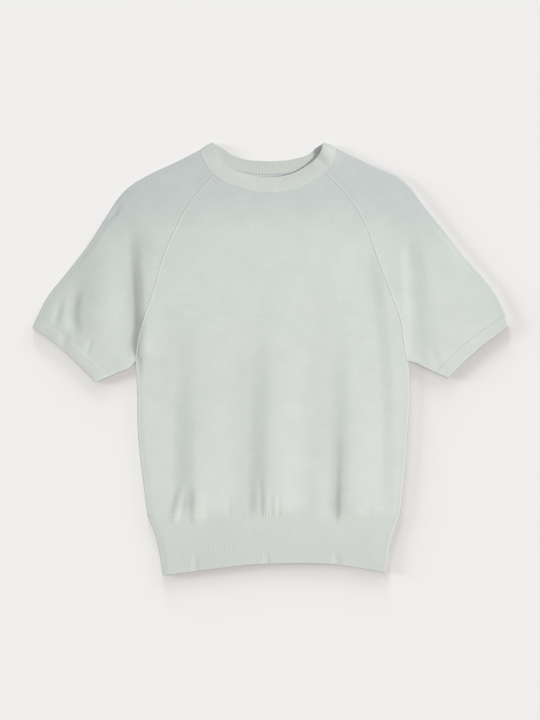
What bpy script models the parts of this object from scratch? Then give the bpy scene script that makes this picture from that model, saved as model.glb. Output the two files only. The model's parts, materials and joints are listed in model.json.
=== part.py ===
"""A short-sleeved crew-neck raglan jumper in fine knit, laid flat on its back.

Metres, +Z up. The jumper rests on z = 0 with its front up, +Y towards the neck and +X to the
viewer's right. Every piece is a knitted wall: the back layer lies flat, the front layer lies on
it in soft folds, and the two turn into each other in rolled edges. The tables of the outline are
in millimetres.
"""

from collections import namedtuple

import bmesh
import bpy
import numpy as np

MM = 0.001

# Sizes of the cloth
PLAIN_WALL = 1.8 * MM
RIB_WALL = 2.0 * MM
ROLL = 2.4 * MM
SEAM_GAP = 0.3 * MM
RIB_RISE = 0.3 * MM
RIB_DIP = 0.1 * MM

# 1 for a round folded edge, less for a tighter, pressed one
ROLL_POWER = 0.5

# Loft of the front layer over its edges, and how near a rolled edge the folds die away
BODY_LOFT = 0.5 * MM
FOLD_REACH = 9 * MM
LOWEST_DIP = 0.8 * MM

# Counts of the ribs that show, and of the cells that carry the folds
HEM_RIBS = 86
CUFF_RIBS = 41
NECK_RIBS = 69
FRONT_COLUMNS = 44
BACK_COLUMNS = 16
FRONT_SIDE_ROWS = 14
BACK_SIDE_ROWS = 6
TOP_RAGLAN_CELLS = 12
BACK_RAGLAN_CELLS = 5
SHOULDER_CELLS = 4
SLEEVE_RINGS = 12
CUFF_BACK_CELLS = 8
CUFF_RINGS = 2
HEM_ROWS = 4
HEM_BACK_ROWS = 2
NECK_BACK_CELLS = 24
NECK_RINGS = 2
ROLL_CELLS = 2
FOLD_CELLS = 10
OUTLINE_CELLS = 24
SPLINE_SAMPLES = 16
NECK_SAMPLES = 600
NORMAL_BLEND = 3
SAME_PLACE = 0.001 * MM

LEFT_OF_TRAVEL = 1
RIGHT_OF_TRAVEL = -1

Edge = namedtuple("Edge", "faces points")
Fold = namedtuple("Fold", "name start middle end left_reach right_reach fade_in fade_out rise")

# Folded edges as seen from above, each from the body outwards, and the side they face
EDGES = {
    "side_left": Edge(LEFT_OF_TRAVEL, [
        (-184.5, -234.5), (-191.7, -179), (-199.2, -107), (-200, -55), (-203, -4)]),
    "side_right": Edge(RIGHT_OF_TRAVEL, [
        (193, -231.5), (199, -179), (204.3, -107), (207.3, -60), (206, -4)]),
    "hem_left": Edge(RIGHT_OF_TRAVEL, [(-184.5, -234.5), (-170.7, -271.7), (-161.7, -324.5)]),
    "hem_right": Edge(LEFT_OF_TRAVEL, [(193, -231.5), (178.8, -274.5), (173.1, -320.4)]),
    "lower_left": Edge(LEFT_OF_TRAVEL, [(-203, -4), (-214, -15), (-227.7, -20), (-242.7, -26.7)]),
    "lower_right": Edge(RIGHT_OF_TRAVEL, [(206, -4), (217.6, -6.5), (227.3, -11.7), (247, -21.5)]),
    "upper_left": Edge(RIGHT_OF_TRAVEL, [
        (-107.7, 311.6), (-141.3, 294.5), (-181.8, 275.6), (-214.2, 255.3), (-226, 243.2),
        (-246, 213), (-273.6, 170.3), (-305, 129.3), (-335.7, 90.3), (-350.3, 62)]),
    "upper_right": Edge(LEFT_OF_TRAVEL, [
        (98.9, 314.7), (154.8, 287.7), (195.3, 268.8), (208.8, 256.7), (225, 235),
        (285, 159), (343.8, 83.9), (351.3, 65.6)]),
    "cuff_upper_left": Edge(RIGHT_OF_TRAVEL, [(-350.3, 62), (-357.3, 46)]),
    "cuff_upper_right": Edge(LEFT_OF_TRAVEL, [(351.3, 65.6), (357, 49)]),
    "cuff_lower_left": Edge(LEFT_OF_TRAVEL, [(-242.7, -26.7), (-262.8, -35)]),
    "cuff_lower_right": Edge(RIGHT_OF_TRAVEL, [(247, -21.5), (265.8, -28.9)]),
    "neck_left": Edge(LEFT_OF_TRAVEL, [(-107.7, 311.6), (-96.5, 319.5), (-86, 324.3)]),
    "neck_right": Edge(RIGHT_OF_TRAVEL, [(98.9, 314.7), (88, 320.8), (78.3, 324.3)]),
}

# Where two folded edges meet at a seam: (edge, its end) pairs, 0 for the start and -1 for the end
MEETINGS = [
    (("side", -1), ("lower", 0)),
    (("side", 0), ("hem", 0)),
    (("upper", 0), ("neck", 0)),
    (("upper", -1), ("cuff_upper", 0)),
    (("lower", -1), ("cuff_lower", 0)),
]

# Seams and free edges between the folded edges, without their ends
FRONT_RAGLAN = {
    "left": [(-196.7, 32.6), (-189.9, 56.9), (-175.1, 100.1), (-160.2, 151.4),
             (-146.7, 183.8), (-125.1, 227)],
    "right": [(200.7, 19.1), (195.3, 56.9), (181.8, 94.7), (160.2, 151.4),
              (144, 197.3), (122.4, 235.1)],
}
BACK_RAGLAN = {
    "left": [(-194, 45), (-176, 100), (-150, 180), (-122, 240)],
    "right": [(198, 45), (180, 100), (154, 180), (122, 244)],
}
FRONT_NECK_CORNER = {"left": (-84.5, 276.3), "right": (80.4, 279.6)}
BACK_NECK_CORNER = {"left": (-86, 295), "right": (79, 297)}
FRONT_NECK_SEAM = [
    (-100.4, 298.8), (-84.5, 276.3), (-68.4, 265), (-49.2, 257.1), (-25.2, 251.6), (-1.2, 249.6),
    (22.8, 252.3), (51.6, 262), (70.8, 273.1), (80.4, 279.6), (93.3, 297.2)]
BACK_NECK_SEAM = [
    (-99.5, 304.8), (-86, 295), (-60, 284.5), (-30, 278.8), (0, 277.5), (30, 279.3),
    (58, 286.5), (79, 297), (91, 307.2)]
FRONT_NECK_EDGE = [
    (-82.8, 311.6), (-74.7, 297.2), (-62, 286), (-44.4, 278.7), (-25.2, 274), (-2.7, 272.1),
    (19.7, 274), (38.9, 280.4), (54.8, 290), (67.7, 300.3), (74.9, 311.6)]
BACK_NECK_EDGE = [
    (-72, 315.2), (-57.2, 304.9), (-38, 298.5), (-18.8, 296.6), (3.6, 296.1), (22.8, 297.2),
    (38.9, 300.3), (56.4, 306), (67.7, 315.6)]
CUFF_SEAM = {"left": [(-293, 19.4)], "right": [(297.7, 28.2)]}
CUFF_EDGE = {"left": [(-307.3, 9.3), (-331.2, 29.6)], "right": [(308.8, 13.2)]}
HEM_SEAM = [
    (-145, -241), (-80, -234), (-10, -229), (50, -229), (100, -234), (137, -239), (170, -236)]
HEM_EDGE = [
    (-115.5, -318.5), (-75, -313.3), (-37.2, -309), (34.8, -306.2), (96, -308), (137, -314)]

# The free edges of the ribs, each between the ends of two folded edges
FREE_EDGES = [
    ("cuff_lower_left", CUFF_EDGE["left"], "cuff_upper_left"),
    ("neck_left", FRONT_NECK_EDGE, "neck_right"),
    ("cuff_upper_right", CUFF_EDGE["right"], "cuff_lower_right"),
    ("hem_left", HEM_EDGE, "hem_right"),
]

# Reach of the loft from the edges, in millimetres, at places from left to right
LOFT_REACHES = [(-150, 8), (150, 30)]

# Folds of the front layer in millimetres: where each runs (from the neck end down), how far it
# reaches towards the left and the right sleeve, the shares of its length over which it fades in
# and out, and its rise
FOLDS = [
    Fold("shoulder notch left", (-226, 232), (-236, 218), (-246, 206), 8, 8, 0.4, 0.4, -1.6),
    Fold("sleeve ridge left", (-228, 235), (-250, 130), (-270, 14), 50, 46, 0.8, 0.25, 2.4),
    Fold("sleeve dent left outer", (-312, 94), (-319, 68), (-326, 42), 9, 9, 0.4, 0.4, -0.9),
    Fold("sleeve dent left middle", (-286, 114), (-296, 72), (-290, 28), 16, 13, 0.4, 0.3, -1.9),
    Fold("cuff dent left", (-306, 46), (-309, 30), (-312, 12), 12, 10, 0.4, 0.4, -0.9),
    Fold("cuff gather left", (-266, 38), (-273, 16), (-279, 0), 8, 7, 0.4, 0.3, -0.5),
    Fold("armhole hollow left", (-212, 210), (-213, 100), (-212, -4), 34, 26, 0.4, 0.1, -0.8),
    Fold("armhole fold left", (-199, 216), (-192, 110), (-188, -24), 20, 360, 0.4, 0.2, 3.2),
    Fold("armhole step left", (-168, 220), (-178, 80), (-180, -36), 40, 360, 0.2, 0.3, 1.9),
    Fold("underarm step left", (-186, 90), (-192, 40), (-195, 0), 14, 40, 0.5, 0.1, 0.7),
    Fold("body ridge left", (-104, 130), (-111, -80), (-111, -250), 36, 74, 0.95, 0.08, 4.5),
    Fold("body ridge middle", (8, 140), (0, -80), (-6, -250), 32, 64, 0.95, 0.08, 3.9),
    Fold("body swell middle", (8, 140), (0, -80), (-6, -250), 90, 64, 0.8, 0.08, 1.2),
    Fold("body ridge right", (120, 130), (122, -60), (116, -250), 32, 84, 0.95, 0.06, 3.6),
    Fold("body swell right", (120, 130), (122, -60), (116, -250), 80, 84, 0.8, 0.06, 1.0),
    Fold("hem gather left outer", (-130, -180), (-139, -214), (-146, -256), 9, 10, 0.5, 0.2, 1.4),
    Fold("hem gather left inner", (-112, -178), (-113, -212), (-114, -258), 9, 20, 0.5, 0.2, 1.2),
    Fold("hem pucker at 63", (-63, -202), (-63, -220), (-64, -246), 6, 6, 0.4, 0.3, -0.4),
    Fold("hem pucker at 30", (-31, -190), (-31, -215), (-31, -246), 8, 5, 0.4, 0.3, -0.25),
    Fold("hem pucker at 15", (-16, -170), (-15, -210), (-15, -250), 6, 6, 0.5, 0.3, -0.8),
    Fold("hem pucker at 2", (1, -195), (1, -215), (1, -246), 8, 5, 0.4, 0.3, -0.5),
    Fold("hem pucker at 12", (12, -198), (12, -215), (12, -246), 6, 5, 0.4, 0.3, -0.5),
    Fold("hem crease right", (100, -90), (98, -180), (96, -254), 34, 9, 0.9, 0.08, -1.7),
    Fold("hem dimple right", (134, -222), (144, -230), (155, -226), 9, 9, 0.3, 0.3, -0.6),
    Fold("hem dent left", (-114, -290), (-113, -306), (-112, -324), 9, 9, 0.5, 0.1, -0.6),
    Fold("hem dent middle", (-7, -286), (-6, -300), (-5, -316), 8, 8, 0.5, 0.1, -0.5),
    Fold("hem dent right", (97, -286), (98, -300), (99, -316), 9, 9, 0.5, 0.1, -0.6),
    Fold("side trough right", (136, 195), (159, 10), (166, -244), 60, 24, 0.15, 0.1, -1.5),
    Fold("sleeve trough right", (206, 205), (211, 90), (214, -12), 16, 26, 0.3, 0.05, -1.1),
    Fold("sleeve ridge right", (210, 235), (246, 100), (262, -10), 34, 90, 0.3, 0.1, 1.2),
    Fold("sleeve gather right", (230, 36), (240, 12), (257, -22), 9, 11, 0.5, 0.3, -0.4),
    Fold("yoke crease", (-150, 224), (0, 238), (160, 232), 9, 9, 0.3, 0.3, -0.3),
    Fold("neck edge stands right", (86, 332), (78, 313), (68, 299), 14, 34, 0.2, 0.4, 3.4),
    Fold("neck edge stands left", (-88, 330), (-82, 311), (-72, 294), 12, 16, 0.3, 0.4, 0.8),
    Fold("neck edge lies low", (-54, 280), (0, 270), (62, 293), 14, 14, 0.2, 0.1, -0.8),
]

KNIT_COLOUR = (0.62, 0.665, 0.625, 1.0)
RIB_COLOUR = (0.60, 0.645, 0.605, 1.0)
KNIT_ROUGHNESS = 0.95


def metres(points):
    """A table of millimetre points as an array in metres."""
    return np.array(points, float) * MM


def smooth_curve(points, count):
    """Evenly spaced points, count cells long, on a smooth curve through a few given ones."""
    knots = np.asarray(points, float)
    places = np.concatenate(([0.0], np.cumsum(np.linalg.norm(np.diff(knots, axis=0), axis=1))))
    slopes = np.gradient(knots, places, axis=0)
    fine = np.linspace(0.0, places[-1], SPLINE_SAMPLES * len(knots) + 1)
    span = np.clip(np.searchsorted(places, fine, side="right") - 1, 0, len(knots) - 2)
    length = (places[span + 1] - places[span])[:, None]
    t = (fine - places[span])[:, None] / length
    curve = ((2 * t**3 - 3 * t**2 + 1) * knots[span] + (3 * t**2 - 2 * t**3) * knots[span + 1]
             + (t**3 - 2 * t**2 + t) * length * slopes[span]
             + (t**3 - t**2) * length * slopes[span + 1])
    along = np.concatenate(([0.0], np.cumsum(np.linalg.norm(np.diff(curve, axis=0), axis=1))))
    even = np.linspace(0.0, along[-1], count + 1)
    return np.stack([np.interp(even, along, curve[:, axis]) for axis in (0, 1)], axis=1)


def unit(vectors):
    return vectors / np.linalg.norm(vectors, axis=-1, keepdims=True)


def across(vectors):
    """Each plan vector turned a quarter turn to the left."""
    return np.stack((-vectors[..., 1], vectors[..., 0]), axis=-1)


def near_path(points, path):
    """Distance from a polyline, how far along it, 0 to 1, and the side, above 0 to its left."""
    starts = path[:-1]
    runs = path[1:] - starts
    offsets = points[:, None, :] - starts[None, :, :]
    share = np.clip((offsets * runs).sum(axis=2) / (runs**2).sum(axis=1), 0.0, 1.0)
    gaps = np.linalg.norm(offsets - share[:, :, None] * runs, axis=2)
    sides = (offsets * across(runs)).sum(axis=2)
    nearest = gaps.argmin(axis=1)
    rows = np.arange(len(points))
    place = (nearest + share[rows, nearest]) / len(runs)
    return gaps[rows, nearest], place, sides[rows, nearest]


def ease(values):
    """0 to 1 with soft ends."""
    held = np.clip(values, 0.0, 1.0)
    return held * held * (3.0 - 2.0 * held)


def end_normal(name, end):
    path = smooth_curve(metres(EDGES[name].points), OUTLINE_CELLS)
    return unit(across(np.gradient(path, axis=0)) * EDGES[name].faces)[end]


def shared_normals():
    """The outward direction at each end of each folded edge, the same for both edges at a seam."""
    normals = {(name, end): end_normal(name, end) for name in EDGES for end in (0, -1)}
    for side in ("left", "right"):
        for (first, first_end), (second, second_end) in MEETINGS:
            keys = ((f"{first}_{side}", first_end), (f"{second}_{side}", second_end))
            mean = unit(normals[keys[0]] + normals[keys[1]])
            for key in keys:
                normals[key] = mean
    return normals


END_NORMALS = shared_normals()


def folded_edge(name, count):
    """A folded edge's plan points, moved in by the roll's radius, and its outward directions."""
    path = smooth_curve(metres(EDGES[name].points), count)
    normals = unit(across(np.gradient(path, axis=0)) * EDGES[name].faces)
    for step in range(min(NORMAL_BLEND, count)):
        share = 1.0 - step / NORMAL_BLEND
        for end, index in ((0, step), (-1, count - step)):
            normals[index] = unit(normals[index] * (1 - share) + END_NORMALS[name, end] * share)
    return path - ROLL * normals, normals


def corner(name, end):
    """The end of a folded edge, moved in by the roll's radius."""
    return metres(EDGES[name].points[end]) - ROLL * END_NORMALS[name, end]


def between(start, points, stop, count):
    """A smooth row of points from one place to another through a table's points."""
    return smooth_curve(np.vstack((start, metres(points), stop)), count)


def split_curve(curve, place):
    """A curve cut at its point nearest a given place."""
    cut = int(np.linalg.norm(curve - metres(place), axis=1).argmin())
    return curve[:cut + 1], curve[cut:]


def neck_parts(table, corners, shoulder_cells, panel_cells):
    """The neck seam as its left shoulder, panel and right shoulder stretches."""
    whole = between(corner("neck_left", 0), table, corner("neck_right", 0), NECK_SAMPLES)
    left, rest = split_curve(whole, corners["left"])
    panel, right = split_curve(rest, corners["right"])
    return (smooth_curve(left, shoulder_cells), smooth_curve(panel, panel_cells),
            smooth_curve(right, shoulder_cells))


def edge_run(name):
    return smooth_curve(metres(EDGES[name].points), OUTLINE_CELLS)


def free_run(first, table, last):
    """The free edge of a rib, between the ends of two folded edges."""
    start, stop = (metres(EDGES[name].points[-1]) for name in (first, last))
    return between(start, table, stop, OUTLINE_CELLS)


ROLLED_RUNS = [edge_run(name) for name in EDGES]
FREE_RUNS = [free_run(*edge) for edge in FREE_EDGES]


def from_runs(points, runs):
    """Distance of each point from the nearest of several polylines."""
    return np.min([near_path(points, run)[0] for run in runs], axis=0)


def top_height(points):
    """Height of the front layer's outer face over each plan point."""
    inward = np.maximum(from_runs(points, ROLLED_RUNS) - ROLL, 0.0)
    loft_reach = np.interp(points[:, 0], *metres(LOFT_REACHES).T)
    lift = BODY_LOFT * ease(np.minimum(inward, from_runs(points, FREE_RUNS)) / loft_reach)
    folds = np.zeros(len(points))
    for fold in FOLDS:
        run = smooth_curve(metres((fold.start, fold.middle, fold.end)), FOLD_CELLS)
        gap, place, side = near_path(points, run)
        reach = np.where(side > 0, fold.right_reach, fold.left_reach) * MM
        taper = ease(place / fold.fade_in) * ease((1.0 - place) / fold.fade_out)
        folds += fold.rise * MM * ease(1.0 - gap / reach) * taper
    lift += folds * ease(inward / FOLD_REACH)
    return 2 * ROLL + np.maximum(lift, -LOWEST_DIP)


def patch(bottom, top, left, right):
    """Plan points of a panel between its four edges, as rows from bottom to top."""
    u = np.linspace(0, 1, len(bottom))[None, :, None]
    v = np.linspace(0, 1, len(left))[:, None, None]
    ruled = (1 - v) * bottom[None] + v * top[None] + (1 - u) * left[:, None] + u * right[:, None]
    corners = ((1 - u) * (1 - v) * bottom[0] + u * (1 - v) * bottom[-1]
               + (1 - u) * v * top[0] + u * v * top[-1])
    return ruled - corners


def moved_aside(chain, distance):
    """A plan chain moved to its left, with mitred corners."""
    normals = across(unit(np.diff(chain, axis=0)))
    before = np.vstack((normals[:1], normals))
    after = np.vstack((normals, normals[-1:]))
    mitre = unit(before + after)
    return chain + distance * mitre / (mitre * after).sum(axis=1, keepdims=True)


class Roll:
    """A folded edge's cross-section: where it starts in plan and which way it faces."""

    def __init__(self, base, outward):
        self.base = np.array(base)
        self.outward = np.array(outward)

    def tip(self):
        return self.base + ROLL * self.outward

    def points(self, degrees, depth):
        """Points round the roll, from above (90) to below (-90), at a depth into the wall."""
        level = np.cos(np.radians(degrees)) ** ROLL_POWER
        upright = np.sin(np.radians(degrees))
        height = (ROLL - depth) * np.sign(upright) * np.abs(upright) ** ROLL_POWER
        plan = self.base + (ROLL - depth) * level[:, None] * self.outward
        return np.column_stack((plan, ROLL + height))


def seam_row(row, first, last, distance):
    """A row's points and its two rolls, moved aside from their seam by a distance."""
    chain = np.vstack((first.tip(), row, last.tip()))
    moved = moved_aside(chain, distance)
    new_first = Roll(first.base + moved[0] - chain[0], first.outward)
    new_last = Roll(last.base + moved[-1] - chain[-1], last.outward)
    return moved[1:-1], new_first, new_last


def ribbed(count):
    """Rise of each point across a ribbed row: even ones lie in the grooves."""
    return np.where(np.arange(count) % 2 == 1, RIB_RISE, -RIB_DIP)


def ring(top, bottom, first, last, depth, rib):
    """One ring of a flattened tube, at a depth into its wall."""
    half_turn = np.linspace(90, -90, 2 * ROLL_CELLS + 1)[1:-1]
    heights = top_height(top) - depth
    if rib and depth == 0:
        heights[1:-1] += ribbed(len(top))[1:-1]
    upper = np.column_stack((top, heights))
    lower = np.column_stack((bottom[::-1], np.full(len(bottom), depth)))
    return np.vstack((upper, last.points(half_turn, depth), lower,
                      first.points(half_turn[::-1], depth)))


def wall_mesh(name, outer, inner, wanted, material, closed):
    """A wall from a grid of outer points and the inner points behind them."""
    rows, columns = outer.shape[:2]
    mesh_edit = bmesh.new()
    place = mesh_edit.verts.layers.int.new("place")
    grid = bmesh.ops.create_grid(
        mesh_edit, x_segments=columns - 1 + closed, y_segments=rows - 1, size=0.5)
    width = columns + closed
    for index, vertex in enumerate(grid["verts"]):
        row, column = divmod(index, width)
        vertex[place] = row * columns + column % columns
        vertex.co = outer[row, column % columns]
    mesh_edit.faces.ensure_lookup_table()
    unwanted = [face for index, face in enumerate(mesh_edit.faces)
                if not wanted(*divmod(index, width - 1))]
    bmesh.ops.delete(mesh_edit, geom=unwanted, context="FACES")
    if closed:
        bmesh.ops.remove_doubles(mesh_edit, verts=mesh_edit.verts, dist=SAME_PLACE)
    behind = bmesh.ops.extrude_face_region(mesh_edit, geom=mesh_edit.faces[:])
    for vertex in behind["geom"]:
        if isinstance(vertex, bmesh.types.BMVert):
            vertex.co = inner[divmod(vertex[place], columns)]
    bmesh.ops.recalc_face_normals(mesh_edit, faces=mesh_edit.faces)
    mesh_edit.verts.layers.int.remove(place)
    mesh = bpy.data.meshes.new(name)
    mesh_edit.to_mesh(mesh)
    mesh_edit.free()
    piece = bpy.data.objects.new(name, mesh)
    mesh.materials.append(material)
    bpy.context.scene.collection.objects.link(piece)
    return piece


def tube(name, tops, bottoms, firsts, lasts, wall, seams, rib, material):
    """A flattened tube: rows of the upper and lower layers and the rolls that join them."""
    layers = []
    for depth in (0.0, wall):
        rings = []
        for index, parts in enumerate(zip(tops, bottoms, firsts, lasts)):
            top, bottom, first, last = parts
            side = seams.get(index if index < len(tops) - 1 else -1, 0)
            upper, new_first, new_last = seam_row(top, first, last, side * SEAM_GAP / 2)
            lower, _, _ = seam_row(bottom, first, last, side * SEAM_GAP / 2)
            rings.append(ring(upper, lower, new_first, new_last, depth, rib))
        layers.append(np.array(rings))
    return wall_mesh(name, layers[0], layers[1], lambda row, column: True, material, True)


def panel(name, rows, lefts, rights, wall, upper_side, rib, material):
    """One layer of the body: rows of points with a rolled edge where a row has rolls."""
    quarter = np.linspace(90, 0, ROLL_CELLS + 1)[1:]
    facing = 1 if upper_side else -1
    layers = []
    for depth in (0.0, wall):
        lines = []
        for row, left, right in zip(rows, lefts, rights):
            heights = top_height(row) - depth if upper_side else np.full(len(row), depth)
            if rib and depth == 0:
                heights[1:-1] += ribbed(len(row))[1:-1]
            edges = []
            for roll in (left, right):
                points = roll.points(facing * quarter, depth)
                points[-1, 2] += facing * SEAM_GAP / 2
                edges.append(points)
            lines.append(np.vstack((edges[0][::-1], np.column_stack((row, heights)), edges[1])))
        layers.append(np.array(lines))
    columns = layers[0].shape[1]
    rolled_rows = sum(1 for left in lefts if left.outward.any()) - 1

    def wanted(row, column):
        return row < rolled_rows or ROLL_CELLS <= column < columns - 1 - ROLL_CELLS

    return wall_mesh(name, layers[0], layers[1], wanted, material, False)


def rolls(name, count):
    return [Roll(base, outward) for base, outward in zip(*folded_edge(name, count))]


def body_panel(name, upper_side, columns, side_rows, raglan_rows, raglan, neck_panel, material):
    """The front or back: hem seam, side seams, raglan seams and neck seam."""
    side_rolls = {side: rolls(f"side_{side}", side_rows) for side in ("left", "right")}
    edges = {}
    for side, neck_end in (("left", neck_panel[0]), ("right", neck_panel[-1])):
        seam = between(corner(f"side_{side}", -1), raglan[side], neck_end, raglan_rows)
        bases = np.array([roll.base for roll in side_rolls[side]])
        edges[side] = np.vstack((bases, seam[1:]))
    hem = between(corner("side_left", 0), HEM_SEAM, corner("side_right", 0), columns)
    rows = patch(hem, neck_panel, edges["left"], edges["right"])

    lefts, rights = side_rolls["left"], side_rolls["right"]
    rows[0], lefts[0], rights[0] = seam_row(rows[0], lefts[0], rights[0], SEAM_GAP / 2)
    upper_chain = np.vstack((lefts[-1].tip(), edges["left"][side_rows:], neck_panel[1:-1],
                             edges["right"][side_rows:][::-1], rights[-1].tip()))
    moved = moved_aside(upper_chain, -SEAM_GAP / 2)
    rows[side_rows:, 0] = moved[1:raglan_rows + 2]
    rows[side_rows:, -1] = moved[-2:-raglan_rows - 3:-1]
    rows[-1] = moved[raglan_rows + 1:len(moved) - raglan_rows - 1]
    lefts[-1] = Roll(lefts[-1].base + moved[0] - upper_chain[0], lefts[-1].outward)
    rights[-1] = Roll(rights[-1].base + moved[-1] - upper_chain[-1], rights[-1].outward)
    for row in range(side_rows + 1, len(rows)):
        lefts.append(Roll(rows[row, 0], (0.0, 0.0)))
        rights.append(Roll(rows[row, -1], (0.0, 0.0)))
    return panel(name, rows, lefts, rights, PLAIN_WALL, upper_side, False, material)


def hem_band(name, upper_side, columns, rows_down, material):
    lefts = rolls("hem_left", rows_down)
    rights = rolls("hem_right", rows_down)
    seam = between(corner("hem_left", 0), HEM_SEAM, corner("hem_right", 0), columns)
    edge = between(corner("hem_left", -1), HEM_EDGE, corner("hem_right", -1), columns)
    rows = patch(seam, edge, np.array([roll.base for roll in lefts]),
                 np.array([roll.base for roll in rights]))
    rows[0], lefts[0], rights[0] = seam_row(rows[0], lefts[0], rights[0], -SEAM_GAP / 2)
    return panel(name, rows, lefts, rights, RIB_WALL, upper_side, upper_side, material)


def sleeve(side, front_shoulder, back_shoulder, material):
    """A raglan sleeve: rings from the raglan and neck seam out to the cuff seam."""
    firsts = rolls(f"lower_{side}", SLEEVE_RINGS)
    lasts = rolls(f"upper_{side}", SLEEVE_RINGS)
    lower_edge = np.array([roll.base for roll in firsts])
    upper_edge = np.array([roll.base for roll in lasts])
    layers = []
    for raglan, shoulder, cells in ((FRONT_RAGLAN, front_shoulder, TOP_RAGLAN_CELLS),
                                    (BACK_RAGLAN, back_shoulder, BACK_RAGLAN_CELLS)):
        seam = between(corner(f"side_{side}", -1), raglan[side], shoulder[0], cells)
        inner = np.vstack((seam, shoulder[1:]))
        outer = between(lower_edge[-1], CUFF_SEAM[side], upper_edge[-1], len(inner) - 1)
        layers.append(patch(inner, outer, lower_edge, upper_edge))
    inward = 1 if side == "left" else -1
    seams = {0: inward, -1: -inward}
    return tube(f"sleeve_{side}", layers[0], layers[1], firsts, lasts, PLAIN_WALL, seams, False,
                material)


def cuff(side, material):
    firsts = rolls(f"cuff_lower_{side}", CUFF_RINGS)
    lasts = rolls(f"cuff_upper_{side}", CUFF_RINGS)
    lower_edge = np.array([roll.base for roll in firsts])
    upper_edge = np.array([roll.base for roll in lasts])
    layers = []
    for cells in (2 * CUFF_RIBS, CUFF_BACK_CELLS):
        seam = between(lower_edge[0], CUFF_SEAM[side], upper_edge[0], cells)
        edge = between(lower_edge[-1], CUFF_EDGE[side], upper_edge[-1], cells)
        layers.append(patch(seam, edge, lower_edge, upper_edge))
    inward = 1 if side == "left" else -1
    return tube(f"cuff_{side}", layers[0], layers[1], firsts, lasts, RIB_WALL, {0: inward}, True,
                material)


def neckband(material):
    """The neckband: rings from the neck seam in to the free edge, folded at both shoulders."""
    firsts = rolls("neck_left", NECK_RINGS)
    lasts = rolls("neck_right", NECK_RINGS)
    left_edge = np.array([roll.base for roll in firsts])
    right_edge = np.array([roll.base for roll in lasts])
    layers = []
    for seam_table, edge_table, cells in (
            (FRONT_NECK_SEAM, FRONT_NECK_EDGE, 2 * NECK_RIBS),
            (BACK_NECK_SEAM, BACK_NECK_EDGE, NECK_BACK_CELLS)):
        seam = between(left_edge[0], seam_table, right_edge[0], cells)
        edge = between(left_edge[-1], edge_table, right_edge[-1], cells)
        layers.append(patch(seam, edge, left_edge, right_edge))
    return tube("neckband", layers[0], layers[1], firsts, lasts, RIB_WALL, {0: 1}, True, material)


def knit_material(name, colour):
    material = bpy.data.materials.new(name)
    material.use_nodes = True
    shader = material.node_tree.nodes["Principled BSDF"]
    shader.inputs["Base Color"].default_value = colour
    shader.inputs["Roughness"].default_value = KNIT_ROUGHNESS
    shader.inputs["Metallic"].default_value = 0.0
    return material


def build_jumper():
    for item in list(bpy.data.objects):
        bpy.data.objects.remove(item)
    front_left, front_panel, front_right = neck_parts(
        FRONT_NECK_SEAM, FRONT_NECK_CORNER, SHOULDER_CELLS, FRONT_COLUMNS)
    back_left, back_panel, back_right = neck_parts(
        BACK_NECK_SEAM, BACK_NECK_CORNER, SHOULDER_CELLS, BACK_COLUMNS)
    body_panel("front", True, FRONT_COLUMNS, FRONT_SIDE_ROWS, TOP_RAGLAN_CELLS, FRONT_RAGLAN,
               front_panel, knit_material("front_knit", KNIT_COLOUR))
    body_panel("back", False, BACK_COLUMNS, BACK_SIDE_ROWS, BACK_RAGLAN_CELLS, BACK_RAGLAN,
               back_panel, knit_material("back_knit", KNIT_COLOUR))
    sleeve("left", front_left[::-1], back_left[::-1],
           knit_material("sleeve_left_knit", KNIT_COLOUR))
    sleeve("right", front_right, back_right, knit_material("sleeve_right_knit", KNIT_COLOUR))
    cuff("left", knit_material("cuff_left_rib", RIB_COLOUR))
    cuff("right", knit_material("cuff_right_rib", RIB_COLOUR))
    hem_band("hem_front", True, 2 * HEM_RIBS, HEM_ROWS, knit_material("hem_front_rib", RIB_COLOUR))
    hem_band("hem_back", False, BACK_COLUMNS, HEM_BACK_ROWS,
             knit_material("hem_back_rib", RIB_COLOUR))
    neckband(knit_material("neckband_rib", RIB_COLOUR))


build_jumper()
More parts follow.
